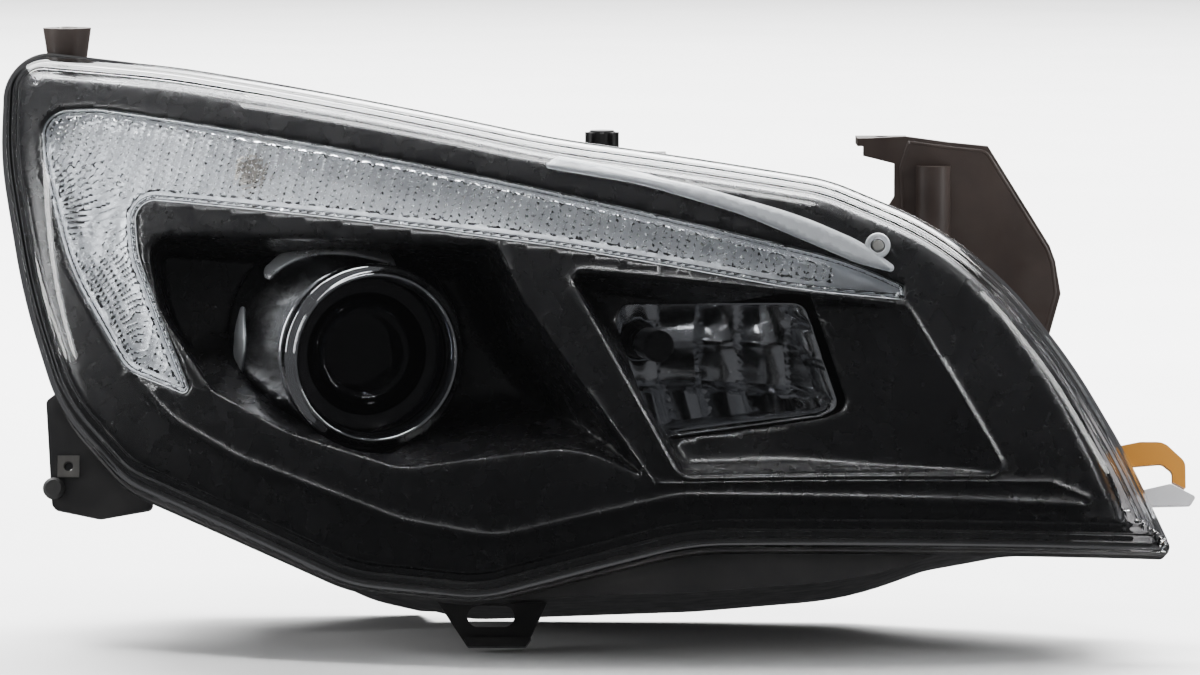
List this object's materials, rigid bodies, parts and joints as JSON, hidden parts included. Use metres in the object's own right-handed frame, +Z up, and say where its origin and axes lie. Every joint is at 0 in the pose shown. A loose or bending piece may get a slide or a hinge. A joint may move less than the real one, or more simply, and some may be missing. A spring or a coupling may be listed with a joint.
{
  "type": "car headlight assembly",
  "caption": "Right-hand car headlamp: swept clear lens over a black bezel, C-shaped wing lamp, low-beam projector, high-beam reflector, aim adjusters and mounting points.",
  "frame": {"origin": "centre of the outer top mounting bore, at its top face", "axes": "+Z up along the outer top bore, -Y the way the lamp looks, +X along the lamp towards its pointed grille end"},
  "size_m": [0.6007, 0.2568, 0.3068],
  "materials": {
    "clear_lens": "clear hard-coated polycarbonate",
    "housing_black": "fine-grained black moulded plastic",
    "bezel_black": "satin black moulded plastic",
    "wing_clear": "clear plastic with moulded pillow optics",
    "metallised": "vacuum-metallised plastic",
    "ring_chrome": "bright plated",
    "projector_glass": "polished optical glass",
    "cast_metal": "die-cast, as cast",
    "plated_steel": "zinc plated",
    "bulb_glass": "clear bulb glass",
    "bulb_black": "black coating",
    "amber": "translucent amber plastic",
    "grey_plastic": "light grey moulded plastic",
    "bracket_brown": "dark brown-black filled plastic",
    "black_rubber": "soft rubber",
    "white_nylon": "natural nylon"
  },
  "bodies": {
    "housing": {"rear_housing": "housing_black", "outer_mount_boss": "bracket_brown", "lower_corner_block": "housing_black", "outer_lens": "clear_lens", "lens_seal": "black_rubber", "inner_bezel": "bezel_black", "wing_lens": "wing_clear", "wing_reflector": "metallised", "wing_screw": "plated_steel", "projector_trim_ring": "ring_chrome", "projector_shroud": "metallised", "pivot_ball_stud": "plated_steel", "leveling_motor": "bezel_black", "main_connector": "housing_black", "vent_cap": "black_rubber", "grille_bracket": "bracket_brown", "bracket_screws": "plated_steel", "retainer_loop": "amber", "guide_tongue": "clear_lens", "speed_nut": "plated_steel", "lower_stop": "black_rubber", "locating_peg": "housing_black", "outer_mount_sleeve": "plated_steel"},
    "pivot_socket": {"pivot_socket": "white_nylon"},
    "aiming_frame": {"aiming_frame": "grey_plastic", "projector_lens": "projector_glass", "lens_holder": "cast_metal", "projector_bowl": "cast_metal", "beam_shield": "plated_steel", "low_beam_bulb": "bulb_glass", "low_beam_bulb_retainer": "plated_steel", "high_beam_reflector": "metallised", "high_beam_bulb": "bulb_glass", "high_beam_bulb_cap": "bulb_black", "side_adjuster_nut": "white_nylon"},
    "horizontal_adjuster": {"horizontal_adjuster": "white_nylon"},
    "vertical_adjuster": {"vertical_adjuster": "white_nylon"},
    "leveling_rod": {"leveling_rod": "white_nylon"},
    "low_beam_cap": {"low_beam_cap": "black_rubber"},
    "high_beam_cap": {"high_beam_cap": "black_rubber"},
    "turn_bulb_socket": {"turn_bulb_socket": "grey_plastic", "turn_bulb": "amber"},
    "position_bulb_socket": {"position_bulb_socket": "grey_plastic", "position_bulb": "bulb_glass"}
  },
  "joints": [
    {"name": "vertical_adjuster_turn", "type": "hinge", "parent": "housing", "child": "vertical_adjuster", "pos_m": [0.215, 0.04, -0.235], "axis": [0, 1, 0], "range_deg": [-540, 540]},
    {"name": "horizontal_adjuster_turn", "type": "hinge", "parent": "housing", "child": "horizontal_adjuster", "pos_m": [0.385, -0.052, -0.125], "axis": [0, 1, 0], "range_deg": [-540, 540]},
    {"name": "horizontal_aim", "type": "hinge", "parent": "housing", "child": "pivot_socket", "pos_m": [0.215, -0.052, -0.095], "axis": [0, 0, 1], "range_deg": [-1.55, 1.55]},
    {"name": "vertical_aim", "type": "hinge", "parent": "pivot_socket", "child": "aiming_frame", "pos_m": [0.215, -0.052, -0.095], "axis": [1, 0, 0], "range_deg": [-1.9, 1.9]},
    {"name": "leveling_rod_slide", "type": "slide", "parent": "housing", "child": "leveling_rod", "axis": [0, 1, 0], "range_m": [-0.0046, 0.0046]},
    {"name": "low_beam_cap_pull", "type": "slide", "parent": "housing", "child": "low_beam_cap", "axis": [0, 1, 0], "range_m": [0, 0.03]},
    {"name": "high_beam_cap_pull", "type": "slide", "parent": "housing", "child": "high_beam_cap", "axis": [0, 1, 0], "range_m": [0, 0.03]},
    {"name": "turn_bulb_socket_turn", "type": "hinge", "parent": "housing", "child": "turn_bulb_socket", "pos_m": [0.1, -0.06073, -0.07498], "axis": [0, 0.9659, -0.2588], "range_deg": [0, 45]},
    {"name": "position_bulb_socket_turn", "type": "hinge", "parent": "housing", "child": "position_bulb_socket", "pos_m": [0.325, -0.1131, -0.10857], "axis": [0, 0.9659, -0.2588], "range_deg": [0, 45]}
  ],
  "couplings": [
    {"joint": "vertical_aim", "follows": "vertical_adjuster_turn", "ratio": 0.0034074},
    {"joint": "leveling_rod_slide", "follows": "vertical_adjuster_turn", "m_per_rad": 0.00047746},
    {"joint": "horizontal_aim", "follows": "horizontal_adjuster_turn", "ratio": 0.0028148}
  ]
}
